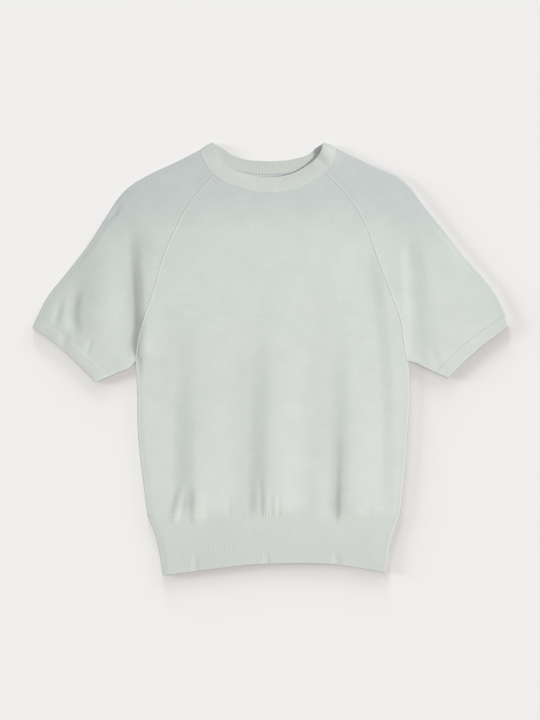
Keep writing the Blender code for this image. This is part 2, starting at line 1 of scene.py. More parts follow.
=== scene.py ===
# A short-sleeved raglan jumper in fine pale mint knit, laid flat on a pale floor.
# Metres, +Z up. The tables of the outline and the folds are in millimetres.
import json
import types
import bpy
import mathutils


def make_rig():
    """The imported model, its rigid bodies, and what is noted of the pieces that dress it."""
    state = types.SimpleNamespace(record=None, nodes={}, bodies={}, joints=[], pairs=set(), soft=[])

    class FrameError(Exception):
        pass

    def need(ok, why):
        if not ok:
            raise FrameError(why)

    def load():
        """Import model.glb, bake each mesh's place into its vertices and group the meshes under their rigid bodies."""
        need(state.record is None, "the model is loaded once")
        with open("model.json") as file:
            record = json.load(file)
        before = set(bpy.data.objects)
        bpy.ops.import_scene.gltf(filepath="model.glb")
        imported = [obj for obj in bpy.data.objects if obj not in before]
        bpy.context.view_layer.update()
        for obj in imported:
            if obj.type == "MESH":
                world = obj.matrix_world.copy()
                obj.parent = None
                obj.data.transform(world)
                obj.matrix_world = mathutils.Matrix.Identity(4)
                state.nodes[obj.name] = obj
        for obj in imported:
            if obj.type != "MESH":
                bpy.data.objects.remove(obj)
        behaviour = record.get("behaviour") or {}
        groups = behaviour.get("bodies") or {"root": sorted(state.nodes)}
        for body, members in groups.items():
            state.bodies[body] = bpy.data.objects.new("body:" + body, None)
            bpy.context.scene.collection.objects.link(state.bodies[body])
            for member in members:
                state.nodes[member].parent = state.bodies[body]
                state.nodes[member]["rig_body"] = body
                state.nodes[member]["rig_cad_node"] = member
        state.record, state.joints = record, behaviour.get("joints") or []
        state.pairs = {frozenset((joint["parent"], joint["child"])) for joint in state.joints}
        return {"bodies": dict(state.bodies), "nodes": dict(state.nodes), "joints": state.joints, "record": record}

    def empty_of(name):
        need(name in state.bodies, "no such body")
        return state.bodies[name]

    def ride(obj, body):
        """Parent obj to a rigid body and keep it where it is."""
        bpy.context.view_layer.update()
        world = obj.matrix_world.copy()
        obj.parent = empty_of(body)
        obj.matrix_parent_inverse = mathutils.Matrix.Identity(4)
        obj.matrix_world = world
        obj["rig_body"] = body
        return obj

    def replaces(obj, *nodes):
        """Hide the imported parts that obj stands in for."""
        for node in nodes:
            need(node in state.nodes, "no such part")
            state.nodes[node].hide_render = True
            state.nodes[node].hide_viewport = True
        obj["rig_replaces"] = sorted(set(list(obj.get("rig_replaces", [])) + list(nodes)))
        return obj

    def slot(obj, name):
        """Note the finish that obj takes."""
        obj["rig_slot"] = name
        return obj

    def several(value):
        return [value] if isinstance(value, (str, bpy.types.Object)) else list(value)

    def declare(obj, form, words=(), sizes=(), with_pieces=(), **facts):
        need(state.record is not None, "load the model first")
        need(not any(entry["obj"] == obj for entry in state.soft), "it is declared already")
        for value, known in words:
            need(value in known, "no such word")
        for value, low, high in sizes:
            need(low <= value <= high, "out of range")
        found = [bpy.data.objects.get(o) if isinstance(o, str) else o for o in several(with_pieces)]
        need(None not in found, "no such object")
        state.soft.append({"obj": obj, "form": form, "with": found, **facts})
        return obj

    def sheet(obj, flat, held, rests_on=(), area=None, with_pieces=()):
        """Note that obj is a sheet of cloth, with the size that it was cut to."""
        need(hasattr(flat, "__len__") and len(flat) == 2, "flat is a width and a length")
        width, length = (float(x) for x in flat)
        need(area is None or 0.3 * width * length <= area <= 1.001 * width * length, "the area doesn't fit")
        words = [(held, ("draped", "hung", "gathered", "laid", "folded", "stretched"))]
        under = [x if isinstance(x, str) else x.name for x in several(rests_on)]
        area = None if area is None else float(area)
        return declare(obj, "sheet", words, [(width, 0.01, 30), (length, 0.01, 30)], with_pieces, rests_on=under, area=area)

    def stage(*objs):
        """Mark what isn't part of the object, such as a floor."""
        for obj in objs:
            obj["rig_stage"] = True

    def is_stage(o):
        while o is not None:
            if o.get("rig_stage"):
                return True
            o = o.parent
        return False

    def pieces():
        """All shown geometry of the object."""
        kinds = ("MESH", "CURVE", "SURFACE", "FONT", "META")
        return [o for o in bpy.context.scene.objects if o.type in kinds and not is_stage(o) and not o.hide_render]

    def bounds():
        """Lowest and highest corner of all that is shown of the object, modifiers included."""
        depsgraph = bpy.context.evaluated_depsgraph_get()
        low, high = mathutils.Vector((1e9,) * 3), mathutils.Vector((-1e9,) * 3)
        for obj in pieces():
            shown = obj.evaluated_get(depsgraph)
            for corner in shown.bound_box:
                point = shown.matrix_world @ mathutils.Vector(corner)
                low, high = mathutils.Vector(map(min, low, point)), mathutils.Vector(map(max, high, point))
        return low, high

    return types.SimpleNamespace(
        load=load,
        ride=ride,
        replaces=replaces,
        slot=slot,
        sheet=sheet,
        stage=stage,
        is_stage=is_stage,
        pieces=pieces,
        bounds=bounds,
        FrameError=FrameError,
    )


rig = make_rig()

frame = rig.load()
import json
import math
from collections import namedtuple

import bmesh
import bpy
import numpy as np
from mathutils import Vector

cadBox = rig.bounds()
mm = 0.001

cloth = {
    "plainWall": 1.8 * mm,
    "ribWall": 2.0 * mm,
    "roll": 2.4 * mm,  # radius of the folded edges
    "rollPower": 0.38,  # 1 for a round folded edge, less for a tighter pressed one
    "rollCells": 6,
    "normalBlend": 0.25,  # share of a folded edge over which its facing turns at a seam
    "seamGap": 0.3 * mm,
    "plainRim": 0.45 * mm,  # softening of the plain pieces' edges
    "rimSegments": 3,
    "ribPower": 2.4,  # higher for broader ribs with narrower furrows
    "loft": 0.5 * mm,  # how far the front layer stands over its folded edges
    "loftReach": [(-150 * mm, 8 * mm), (150 * mm, 30 * mm)],  # within what, at the left and right
    "foldReach": 9 * mm,  # how near a folded edge the folds die away
    "lowestDip": 0.8 * mm,  # how far the folds go below the folded edges at most
    "outlineCells": 24,  # steps along the edges and folds that heights are worked out from
    "foldCells": 10,
    "splineSamples": 16,
    "neckSamples": 600,
    "merge": 0.001 * mm,  # points nearer than this are one
}

sides = ("left", "right")
Fold = namedtuple("Fold", "name start middle end leftReach rightReach fadeIn fadeOut rise")

# Folded edges as seen from above, each from the body outwards
edges = {
    "side_left": [(-184.5, -234.5), (-191.7, -179), (-199.2, -107), (-200, -55), (-203, -4)],
    "side_right": [(193, -231.5), (199, -179), (204.3, -107), (207.3, -60), (206, -4)],
    "hem_left": [(-184.5, -234.5), (-170.7, -271.7), (-161.7, -324.5)],
    "hem_right": [(193, -231.5), (178.8, -274.5), (173.1, -320.4)],
    "lower_left": [(-203, -4), (-214, -15), (-227.7, -20), (-242.7, -26.7)],
    "lower_right": [(206, -4), (217.6, -6.5), (227.3, -11.7), (247, -21.5)],
    "upper_left": [
        (-107.7, 311.6), (-141.3, 294.5), (-181.8, 275.6), (-214.2, 255.3), (-226, 243.2),
        (-246, 213), (-273.6, 170.3), (-305, 129.3), (-335.7, 90.3), (-350.3, 62)],
    "upper_right": [
        (98.9, 314.7), (154.8, 287.7), (195.3, 268.8), (208.8, 256.7), (225, 235), (285, 159),
        (343.8, 83.9), (351.3, 65.6)],
    "cuff_upper_left": [(-350.3, 62), (-357.3, 46)],
    "cuff_upper_right": [(351.3, 65.6), (357, 49)],
    "cuff_lower_left": [(-242.7, -26.7), (-262.8, -35)],
    "cuff_lower_right": [(247, -21.5), (265.8, -28.9)],
    "neck_left": [(-107.7, 311.6), (-96.5, 319.5), (-86, 324.3)],
    "neck_right": [(98.9, 314.7), (88, 320.8), (78.3, 324.3)],
}
outerOnLeft = {"side_left", "hem_right", "lower_left", "upper_right", "cuff_upper_right",
               "cuff_lower_left", "neck_left"}  # the others face out to the right of their way

# Where two folded edges meet at a seam: (edge, its end) pairs, 0 for the start and -1 for the end
meetings = [
    (("side", -1), ("lower", 0)),
    (("side", 0), ("hem", 0)),
    (("upper", 0), ("neck", 0)),
    (("upper", -1), ("cuff_upper", 0)),
    (("lower", -1), ("cuff_lower", 0)),
]

# Seams and free edges between the folded edges, without their ends
seams = {
    "frontRaglan_left": [
        (-196.7, 32.6), (-189.9, 56.9), (-175.1, 100.1), (-160.2, 151.4), (-146.7, 183.8),
        (-125.1, 227)],
    "frontRaglan_right": [
        (200.7, 19.1), (195.3, 56.9), (181.8, 94.7), (160.2, 151.4), (144, 197.3), (122.4, 235.1)],
    "backRaglan_left": [(-194, 45), (-176, 100), (-150, 180), (-122, 240)],
    "backRaglan_right": [(198, 45), (180, 100), (154, 180), (122, 244)],
    "frontNeck": [
        (-100.4, 298.8), (-84.5, 276.3), (-68.4, 265), (-49.2, 257.1), (-25.2, 251.6),
        (-1.2, 249.6), (22.8, 252.3), (51.6, 262), (70.8, 273.1), (80.4, 279.6), (93.3, 297.2)],
    "backNeck": [
        (-99.5, 304.8), (-86, 295), (-60, 284.5), (-30, 278.8), (0, 277.5), (30, 279.3),
        (58, 286.5), (79, 297), (91, 307.2)],
    "frontNeckEdge": [
        (-82.8, 311.6), (-74.7, 297.2), (-62, 286), (-44.4, 278.7), (-25.2, 274), (-2.7, 272.1),
        (19.7, 274), (38.9, 280.4), (54.8, 290), (67.7, 300.3), (74.9, 311.6)],
    "backNeckEdge": [
        (-72, 315.2), (-57.2, 304.9), (-38, 298.5), (-18.8, 296.6), (3.6, 296.1), (22.8, 297.2),
        (38.9, 300.3), (56.4, 306), (67.7, 315.6)],
    "cuff_left": [(-293, 19.4)],
    "cuff_right": [(297.7, 28.2)],
    "cuffEdge_left": [(-307.3, 9.3), (-331.2, 29.6)],
    "cuffEdge_right": [(308.8, 13.2)],
    "hem": [
        (-145, -241), (-80, -234), (-10, -229), (50, -229), (100, -234), (137, -239), (170, -236)],
    "hemEdge": [
        (-115.5, -318.5), (-75, -313.3), (-37.2, -309), (34.8, -306.2), (96, -308), (137, -314)],
}
neckCorners = {  # where the neck seams pass from a shoulder to the panel
    "frontNeck": {"left": (-84.5, 276.3), "right": (80.4, 279.6)},
    "backNeck": {"left": (-86, 295), "right": (79, 297)},
}

# Folds of the front layer in millimetres: where each runs (from the neck end down, or from left to
# right), how far it reaches towards the left and the right sleeve, the shares of its length over
# which it fades in and out, and its rise
folds = [
    Fold("shoulder notch left", (-226, 232), (-236, 218), (-246, 206), 8, 8, 0.4, 0.4, -1.6),
    Fold("sleeve ridge left", (-228, 235), (-250, 130), (-270, 14), 50, 46, 0.8, 0.25, 2.4),
    Fold("sleeve dent left outer", (-312, 94), (-319, 68), (-326, 42), 9, 9, 0.4, 0.4, -0.9),
    Fold("sleeve dent left middle", (-286, 114), (-296, 72), (-290, 28), 16, 13, 0.4, 0.3, -1.9),
    Fold("cuff dent left", (-306, 46), (-309, 30), (-312, 12), 12, 10, 0.4, 0.4, -0.9),
    Fold("cuff gather left", (-266, 38), (-273, 16), (-279, 0), 8, 7, 0.4, 0.3, -0.5),
    Fold("armhole hollow left", (-212, 210), (-213, 100), (-212, -4), 34, 26, 0.4, 0.1, -0.8),
    Fold("armhole fold left", (-197, 216), (-188, 110), (-186, -36), 21, 360, 0.4, 0.3, 3.6),
    Fold("armhole core left", (-203, 170), (-197, 80), (-196, -16), 8, 40, 0.5, 0.15, 0.8),
    Fold("armhole step left", (-168, 220), (-178, 80), (-180, -60), 40, 360, 0.2, 0.4, 1.9),
    Fold("underarm step left", (-186, 90), (-192, 40), (-195, 0), 13, 40, 0.5, 0.1, 1.2),
    Fold("underarm gather left", (-194, 44), (-199, 22), (-205, 0), 15, 24, 0.5, 0.5, 1.5),
    Fold("body ridge left", (-104, 130), (-111, -80), (-111, -243), 36, 74, 0.95, 0.08, 4.5),
    Fold("body ridge middle", (8, 140), (0, -80), (-6, -243), 32, 64, 0.95, 0.08, 3.9),
    Fold("body swell middle", (8, 140), (0, -80), (-6, -243), 90, 64, 0.8, 0.08, 1.2),
    Fold("body ridge right", (120, 130), (122, -60), (116, -243), 32, 84, 0.95, 0.06, 3.6),
    Fold("body swell right", (120, 130), (122, -60), (116, -243), 80, 84, 0.8, 0.06, 1.0),
    Fold("hem gather left outer", (-130, -180), (-139, -214), (-146, -249), 9, 10, 0.5, 0.2, 1.4),
    Fold("hem gather left inner", (-112, -178), (-113, -212), (-114, -251), 9, 20, 0.5, 0.2, 1.2),
    Fold("hem pucker 63 left", (-63, -202), (-63, -220), (-64, -241), 6, 6, 0.4, 0.3, -0.4),
    Fold("hem pucker 31 left", (-31, -190), (-31, -215), (-31, -241), 8, 5, 0.4, 0.3, -0.25),
    Fold("hem pucker 15 left", (-16, -170), (-15, -210), (-15, -243), 6, 6, 0.5, 0.3, -0.8),
    Fold("hem pucker 1 right", (1, -195), (1, -215), (1, -241), 8, 5, 0.4, 0.3, -0.5),
    Fold("hem pucker 12 right", (12, -198), (12, -215), (12, -241), 6, 5, 0.4, 0.3, -0.5),
    Fold("hem crease right", (100, -90), (98, -180), (96, -247), 34, 9, 0.9, 0.08, -1.7),
    Fold("hem dimple right", (134, -222), (144, -230), (155, -226), 9, 9, 0.3, 0.3, -0.6),
    Fold("hem dent left", (-114, -290), (-113, -306), (-112, -324), 9, 9, 0.5, 0.1, -0.6),
    Fold("hem dent middle", (-7, -286), (-6, -300), (-5, -316), 8, 8, 0.5, 0.1, -0.5),
    Fold("hem dent right", (97, -286), (98, -300), (99, -316), 9, 9, 0.5, 0.1, -0.6),
    Fold("side trough right", (136, 195), (159, 10), (166, -244), 60, 24, 0.15, 0.1, -1.5),
    Fold("sleeve trough right", (206, 205), (211, 90), (214, -12), 16, 26, 0.3, 0.05, -1.1),
    Fold("sleeve ridge right", (210, 235), (246, 100), (262, -10), 34, 90, 0.3, 0.1, 1.2),
    Fold("sleeve gather right", (230, 36), (240, 12), (257, -22), 9, 11, 0.5, 0.3, -0.4),
    Fold("yoke crease", (-150, 224), (0, 238), (160, 232), 9, 9, 0.3, 0.3, -0.3),
    Fold("neck edge stands right", (86, 332), (78, 313), (68, 299), 14, 34, 0.2, 0.4, 3.4),
    Fold("neck edge stands left", (-88, 330), (-82, 311), (-72, 294), 12, 16, 0.3, 0.4, 0.8),
    Fold("neck edge lies low", (-54, 280), (0, 270), (66, 296), 14, 14, 0.2, 0.1, -0.8),
]


def metres(points):
    return np.array(points, float) * mm


def lengthsAlong(points):
    return np.concatenate(([0.0], np.cumsum(np.linalg.norm(np.diff(points, axis=0), axis=1))))


def smoothCurve(points, count):  # evenly spaced points on a smooth curve through a few given ones
    knots = np.asarray(points, float)
    places = lengthsAlong(knots)
    slopes = np.gradient(knots, places, axis=0)
    fine = np.linspace(0.0, places[-1], cloth["splineSamples"] * len(knots) + 1)
    span = np.clip(np.searchsorted(places, fine, side="right") - 1, 0, len(knots) - 2)
    length = (places[span + 1] - places[span])[:, None]
    t = (fine - places[span])[:, None] / length
    curve = ((2 * t**3 - 3 * t**2 + 1) * knots[span] + (3 * t**2 - 2 * t**3) * knots[span + 1]
             + (t**3 - 2 * t**2 + t) * length * slopes[span]
             + (t**3 - t**2) * length * slopes[span + 1])
    along = lengthsAlong(curve)
    even = np.linspace(0.0, along[-1], count + 1)
    return np.stack([np.interp(even, along, curve[:, axis]) for axis in (0, 1)], axis=1)


def unit(vectors):
    return vectors / np.linalg.norm(vectors, axis=-1, keepdims=True)


def across(vectors):  # each plan vector turned a quarter turn to the left
    return np.stack((-vectors[..., 1], vectors[..., 0]), axis=-1)


def ease(values):  # 0 to 1 with soft ends
    held = np.clip(values, 0.0, 1.0)
    return held * held * (3.0 - 2.0 * held)


def nearPath(points, path):  # distance from a polyline, how far along it, 0 to 1, and the side
    starts = path[:-1]
    runs = path[1:] - starts
    squares = (runs**2).sum(axis=1)
    best = np.full(len(points), np.inf)
    place = np.zeros(len(points))
    side = np.zeros(len(points))
    for index in range(len(runs)):
        offset = points - starts[index]
        share = np.clip(offset @ runs[index] / squares[index], 0.0, 1.0)
        gap = np.linalg.norm(offset - share[:, None] * runs[index], axis=1)
        nearer = gap < best
        best[nearer] = gap[nearer]
        place[nearer] = (index + share[nearer]) / len(runs)
        side[nearer] = (offset @ across(runs[index]))[nearer]
    return best, place, side


def edgePath(name, count):  # a folded edge's outermost plan points and the way each faces
    path = smoothCurve(metres(edges[name]), count)
    return path, unit(across(np.gradient(path, axis=0)) * (1 if name in outerOnLeft else -1))


def sharedNormals():  # one facing at each end, the same for both edges that meet at a seam
    normals = {(name, end): edgePath(name, cloth["outlineCells"])[1][end]
               for name in edges for end in (0, -1)}
    for side in sides:
        for (first, firstEnd), (second, secondEnd) in meetings:
            keys = ((f"{first}_{side}", firstEnd), (f"{second}_{side}", secondEnd))
            mean = unit(normals[keys[0]] + normals[keys[1]])
            for key in keys:
                normals[key] = mean
    return normals


endNormals = sharedNormals()


class Roll:  # a folded edge's cross-section: where it starts in plan and which way it faces
    def __init__(self, base, outward):
        self.base = np.array(base)
        self.outward = np.array(outward)

    def tip(self):
        return self.base + cloth["roll"] * self.outward

    def moved(self, start, stop):
        return Roll(self.base + stop - start, self.outward)

    def points(self, degrees, depth):  # from above (90) to below (-90), at a depth in the wall
        level, upright = np.cos(np.radians(degrees)), np.sin(np.radians(degrees))
        radius = cloth["roll"] - depth
        plan = self.base + radius * (level ** cloth["rollPower"])[:, None] * self.outward
        height = radius * np.sign(upright) * np.abs(upright) ** cloth["rollPower"]
        return np.column_stack((plan, cloth["roll"] + height))

    def unrolled(self, degrees):  # the same places laid out flat, for the knit's own map
        reach = cloth["roll"] * np.radians(90.0 - np.abs(degrees))
        return self.base + reach[:, None] * self.outward


def rolls(name, count):
    path, normals = edgePath(name, count)
    for index in range(count + 1):
        for end, place in ((0, index / count), (-1, 1 - index / count)):
            share = max(0.0, 1.0 - place / cloth["normalBlend"])
            normals[index] = unit(normals[index] * (1 - share) + endNormals[name, end] * share)
    return [Roll(point - cloth["roll"] * normal, normal) for point, normal in zip(path, normals)]


def bases(rolled):
    return np.array([roll.base for roll in rolled])


def corner(name, end):  # the end of a folded edge, moved in by the roll's radius
    return metres(edges[name][end]) - cloth["roll"] * endNormals[name, end]


def corners(part, end=0):
    return [corner(f"{part}_{side}", end) for side in sides]


def between(table, start, stop, count):  # a seam or free edge from one end to the other
    return smoothCurve(np.vstack((start, metres(seams[table]), stop)), count)


def neckPart(table, part, count):  # a neck seam's run over the left shoulder, panel or right one
    whole = between(table, *corners("neck"), cloth["neckSamples"])
    first, last = (int(np.linalg.norm(whole - metres(neckCorners[table][side]), axis=1).argmin())
                   for side in sides)
    runs = {"left": whole[:first + 1], "panel": whole[first:last + 1], "right": whole[last:]}
    return smoothCurve(runs[part], count)


def patch(bottom, top, left, right):  # plan points of a panel between its four edges
    u = np.linspace(0, 1, len(bottom))[None, :, None]
    v = np.linspace(0, 1, len(left))[:, None, None]
    ruled = (1 - v) * bottom[None] + v * top[None] + (1 - u) * left[:, None] + u * right[:, None]
    corners = ((1 - u) * (1 - v) * bottom[0] + u * (1 - v) * bottom[-1]
               + (1 - u) * v * top[0] + u * v * top[-1])
    return ruled - corners


def movedAside(chain, distance):  # a plan chain moved to its left, with mitred corners
    normals = across(unit(np.diff(chain, axis=0)))
    before = np.vstack((normals[:1], normals))
    after = np.vstack((normals, normals[-1:]))
    mitre = unit(before + after)
    return chain + distance * mitre / (mitre * after).sum(axis=1, keepdims=True)


def seamRow(row, first, last, distance):  # a row and its rolls, moved aside from their seam
    chain = np.vstack((first.tip(), row, last.tip()))
    moved = movedAside(chain, distance)
    return moved[1:-1], first.moved(chain[0], moved[0]), last.moved(chain[-1], moved[-1])


# The lines that the front layer's height is worked out from
freeEdges = [("cuff_lower_left", "cuffEdge_left", "cuff_upper_left"),
             ("neck_left", "frontNeckEdge", "neck_right"),
             ("cuff_upper_right", "cuffEdge_right", "cuff_lower_right"),
             ("hem_left", "hemEdge", "hem_right")]
rolledRuns = [edgePath(name, cloth["outlineCells"])[0] for name in edges]
freeRuns = [between(table, metres(edges[first][-1]), metres(edges[last][-1]), cloth["outlineCells"])
            for first, table, last in freeEdges]
foldRuns = [(fold, smoothCurve(metres((fold.start, fold.middle, fold.end)), cloth["foldCells"]))
            for fold in folds]


def topHeight(points):  # height of the front layer's outer face over each plan point
    fromRolls, fromFree = (np.min([nearPath(points, run)[0] for run in runs], axis=0)
                           for runs in (rolledRuns, freeRuns))
    inward = np.maximum(fromRolls - cloth["roll"], 0.0)
    reach = np.interp(points[:, 0], *zip(*cloth["loftReach"]))
    lift = cloth["loft"] * ease(np.minimum(inward, fromFree) / reach)
    creased = np.zeros(len(points))
    for fold, run in foldRuns:
        furthest = max(fold.leftReach, fold.rightReach) * mm
        near = np.flatnonzero(((points > run.min(axis=0) - furthest)
                               & (points < run.max(axis=0) + furthest)).all(axis=1))
        if len(near):
            gap, place, side = nearPath(points[near], run)
            reach = np.where(side > 0, fold.rightReach, fold.leftReach) * mm
            taper = ease(place / fold.fadeIn) * ease((1.0 - place) / fold.fadeOut)
            creased[near] += fold.rise * mm * ease(1.0 - gap / reach) * taper
    lift += creased * ease(inward / cloth["foldReach"])
    return 2 * cloth["roll"] + np.maximum(lift, -cloth["lowestDip"])


def rowHeights(rows):
    return topHeight(rows.reshape(-1, 2)).reshape(rows.shape[:2])


def inScene(name, data):
    item = bpy.data.objects.new(name, data)
    bpy.context.scene.collection.objects.link(item)
    return item


def meshFrom(edit, name, material):
    mesh = bpy.data.meshes.new(name)
    edit.to_mesh(mesh)
    edit.free()
    mesh.materials.append(material)
    return mesh


def asPiece(edit, name, material):
    bmesh.ops.recalc_face_normals(edit, faces=edit.faces)
    mesh = meshFrom(edit, name, material)
    mesh.shade_smooth()
    piece = inScene(name, mesh)
    lit.objects.link(piece)
    print(f"{name}: {len(mesh.polygons)} faces")
    return piece


def placedGrid(edit, points, closed):  # a grid through given points, in rings when closed
    rows, columns = points.shape[:2]
    width = columns + closed
    place = edit.verts.layers.int.new("place")
    grid = bmesh.ops.create_grid(edit, x_segments=width - 1, y_segments=rows - 1, size=0.5)
    for index, vertex in enumerate(grid["verts"]):
        row, column = divmod(index, width)
        vertex[place] = row * columns + column % columns
        vertex.co = points[row, column % columns]
    return place


def mapFaces(edit, place, flat, columns, closed):  # the knit's map, in metres
    knitMap = edit.loops.layers.uv.new("knit")
    for face in edit.faces:
        spots = [divmod(loop.vert[place], columns) for loop in face.loops]
        wraps = closed and {0, columns - 1} <= {column for row, column in spots}
        for loop, (row, column) in zip(face.loops, spots):
            loop[knitMap].uv = flat[row, columns if wraps and column == 0 else column]


def knitWall(plan, flat, rimRound):
    # A grid of outer points is extruded into a wall, whose inner points lie behind the outer ones
    outer, inner, closed = plan["outer"], plan["inner"], plan["closed"]
    rows, columns = outer.shape[:2]
    edit = bmesh.new()
    place = placedGrid(edit, outer, closed)
    if closed:
        bmesh.ops.remove_doubles(edit, verts=edit.verts, dist=cloth["merge"])
    else:
        edit.faces.ensure_lookup_table()
        unwanted = [face for index, face in enumerate(edit.faces)
                    if not plan["wanted"](*divmod(index, columns - 1))]
        bmesh.ops.delete(edit, geom=unwanted, context="FACES")
    behind = bmesh.ops.extrude_face_region(edit, geom=edit.faces[:])
    backVerts = {item for item in behind["geom"] if isinstance(item, bmesh.types.BMVert)}
    for vertex in backVerts:
        vertex.co = inner[divmod(vertex[place], columns)]
    mapFaces(edit, place, flat, columns, closed)
    for face in edit.faces:  # the inner wall of a band shows its wrong side
        face.material_index = int("inside" in plan and all(v in backVerts for v in face.verts))
    rims = {face for face in edit.faces if 0 < sum(v in backVerts for v in face.verts) < 4}
    freeRow = (rows - 1) * columns if plan["freeEdge"] else rows * columns
    rounded = []
    for edge in edit.edges:
        onRim = sum(face in rims for face in edge.link_faces) == 1
        outside = not any(vertex in backVerts for vertex in edge.verts)
        free = all(vertex[place] >= freeRow for vertex in edge.verts)
        if onRim and (closed or outside or free):
            rounded.append(edge)
    bmesh.ops.bevel(edit, geom=rounded, offset=rimRound, offset_type="OFFSET", affect="EDGES",
                    segments=cloth["rimSegments"], profile=0.5, material=-1, clamp_overlap=True)
    edit.verts.layers.int.remove(place)
    piece = asPiece(edit, plan["name"], plan["material"])
    if "inside" in plan:
        piece.data.materials.append(plan["inside"])
    return piece


def ribRise(columns, ribs, height):  # rounded ridges with narrow furrows, across a row of points
    phase = np.linspace(0, ribs, columns) % 1.0
    return height * (1.0 - np.abs(2 * phase - 1.0) ** cloth["ribPower"])


halfTurn = np.linspace(90, -90, 2 * cloth["rollCells"] + 1)[1:-1]
quarterTurn = np.linspace(90, 0, cloth["rollCells"] + 1)[1:]


def tube(name, tops, bottoms, firsts, lasts, seamSides, material, wall, ribs=None):
    # A flattened tube: rows of the upper and lower layers, joined by the rolls of their folds
    tops, bottoms, firsts, lasts = map(list, (tops, bottoms, firsts, lasts))
    for index, side in seamSides.items():
        parts = (firsts[index], lasts[index], side * cloth["seamGap"] / 2)
        bottoms[index] = seamRow(bottoms[index], *parts)[0]
        tops[index], firsts[index], lasts[index] = seamRow(tops[index], *parts)
    tops, bottoms = np.array(tops), np.array(bottoms)[:, ::-1]
    heights = rowHeights(tops)
    rise, dent = np.zeros(tops.shape[1]), np.zeros(bottoms.shape[1])
    if ribs is not None:
        rise = ribRise(len(rise), ribs["ribs"], ribs["ribHeight"])
        dent = ribs["ribHeight"] - ribRise(len(dent), ribs["backRibs"], ribs["ribHeight"])
    plan = {"name": name, "material": material, "closed": True, "freeEdge": ribs is not None,
            "outer": [], "inner": [], "flat": []}
    for top, bottom, height, first, last in zip(tops, bottoms, heights, firsts, lasts):
        for key, depth in (("outer", 0.0), ("inner", wall)):
            plan[key].append(np.vstack((
                np.column_stack((top, height + rise - depth)),
                last.points(halfTurn, depth),
                np.column_stack((bottom, dent + depth)),
                first.points(halfTurn[::-1], depth))))
        plan["flat"].append(np.vstack((top, last.unrolled(halfTurn), bottom,
                                       first.unrolled(halfTurn[::-1]), top[:1])))
    return plan | {key: np.array(plan[key]) for key in ("outer", "inner", "flat")}


def layer(name, rows, lefts, rights, upper, material, wall, ribs=None):
    # One layer of the body: rows of points, with a rolled edge where a row's ends face outwards
    facing = 1 if upper else -1
    heights = rowHeights(rows) if upper else 0 * rows[:, :, 0]
    rise = np.zeros(rows.shape[1])
    if ribs is not None:
        rise = ribRise(len(rise), ribs["ribs"], ribs["ribHeight"])
        rise = rise if upper else ribs["ribHeight"] - rise
    plan = {"name": name, "material": material, "closed": False, "freeEdge": ribs is not None,
            "outer": [], "inner": [], "flat": []}
    for row, height, left, right in zip(rows, heights, lefts, rights):
        for key, depth in (("outer", 0.0), ("inner", wall)):
            ends = [roll.points(facing * quarterTurn, depth) for roll in (left, right)]
            for end in ends:
                end[-1, 2] += facing * cloth["seamGap"] / 2
            plan[key].append(np.vstack((
                ends[0][::-1], np.column_stack((row, height + rise - facing * depth)), ends[1])))
        plan["flat"].append(np.vstack((left.unrolled(quarterTurn)[::-1], row,
                                       right.unrolled(quarterTurn))))
    lastColumn = rows.shape[1] + 2 * cloth["rollCells"] - 1
    rolledRows = sum(1 for left in lefts if left.outward.any()) - 1
    plan["wanted"] = lambda row, column: (
        row < rolledRows or cloth["rollCells"] <= column < lastColumn - cloth["rollCells"])
    return plan | {key: np.array(plan[key]) for key in ("outer", "inner", "flat")}


def turned(flat, degrees):  # the knit's map, turned so that its wales run along the piece
    turn = math.radians(degrees)
    return flat @ np.array(((math.cos(turn), -math.sin(turn)), (math.sin(turn), math.cos(turn))))


def alongRibs(plan, width, length):  # the knit's map where the wales fan out with the ribs
    rows, columns = plan["flat"].shape[:2]
    spots = np.meshgrid(np.linspace(0, width, columns), np.linspace(0, length, rows))
    return np.stack(spots, axis=2)


loopForm = {
    "wanderScale": 260.0, "wanderDetail": 2.0,  # how finely the loops stray from their columns
    "slant": 0.55,  # how many courses a leg of a loop climbs
    "fullness": 0.6,  # below 1 for fuller yarn
    "ends": 0.5,  # height of a loop's ends against its middle
    "gapWidth": 1.6,  # higher for narrower gaps between the loops
}
yarnForm = {  # each noise's scale, detail and roughness
    "fine": (330.0, 3.0, 0.6), "broad": (34.0, 3.0, 0.5), "fineShare": 0.6,
    "courseScale": (12.0, 340.0, 12.0), "courses": (1.0, 3.0, 0.5),
    "fuzz": (1500.0, 2.0, 0.7),
    "spread": (0.3, 0.7),  # noise values lie near the middle, so they're spread out from here
}
# Looks of the knits: sizes of a loop in metres, base colours and how strongly each effect shows
knitLook = {
    "wale": 2.0 * mm, "course": 1.6 * mm, "wander": 0.12, "relief": 0.13 * mm, "fuzz": 0.25,
    "light": (0.662, 0.694, 0.660), "dark": (0.575, 0.607, 0.576),
    # paintedGapShade is the dark colour of the painted shade in the gaps between the loops, and gapShade how strongly
    # it shows
    "paintedGapShade": (0.40, 0.44, 0.41), "courseShade": 0.35, "gapShade": 0.35,
    "roughness": (0.88, 0.98), "specular": 0.2,
    "sheen": 0.12, "sheenRoughness": 0.5, "sheenTint": (0.94, 0.97, 0.95),
}
hemLook = knitLook | {
    "wale": 4.0 * mm, "course": 1.5 * mm, "courseShade": 0.2, "gapShade": 0.40,
    "light": (0.616, 0.646, 0.614), "dark": (0.576, 0.606, 0.574)}
neckLook = hemLook | {
    "wale": 3.4 * mm, "light": (0.696, 0.724, 0.670), "dark": (0.646, 0.674, 0.620)}
cuffLook = hemLook | {
    "wale": 3.4 * mm, "light": (0.643, 0.673, 0.637), "dark": (0.587, 0.617, 0.583)}
insideLook = neckLook | {  # the bands' wrong side, as the back of the neckband shows it
    "light": (0.655, 0.675, 0.628), "dark": (0.605, 0.625, 0.580), "gapShade": 0.3}
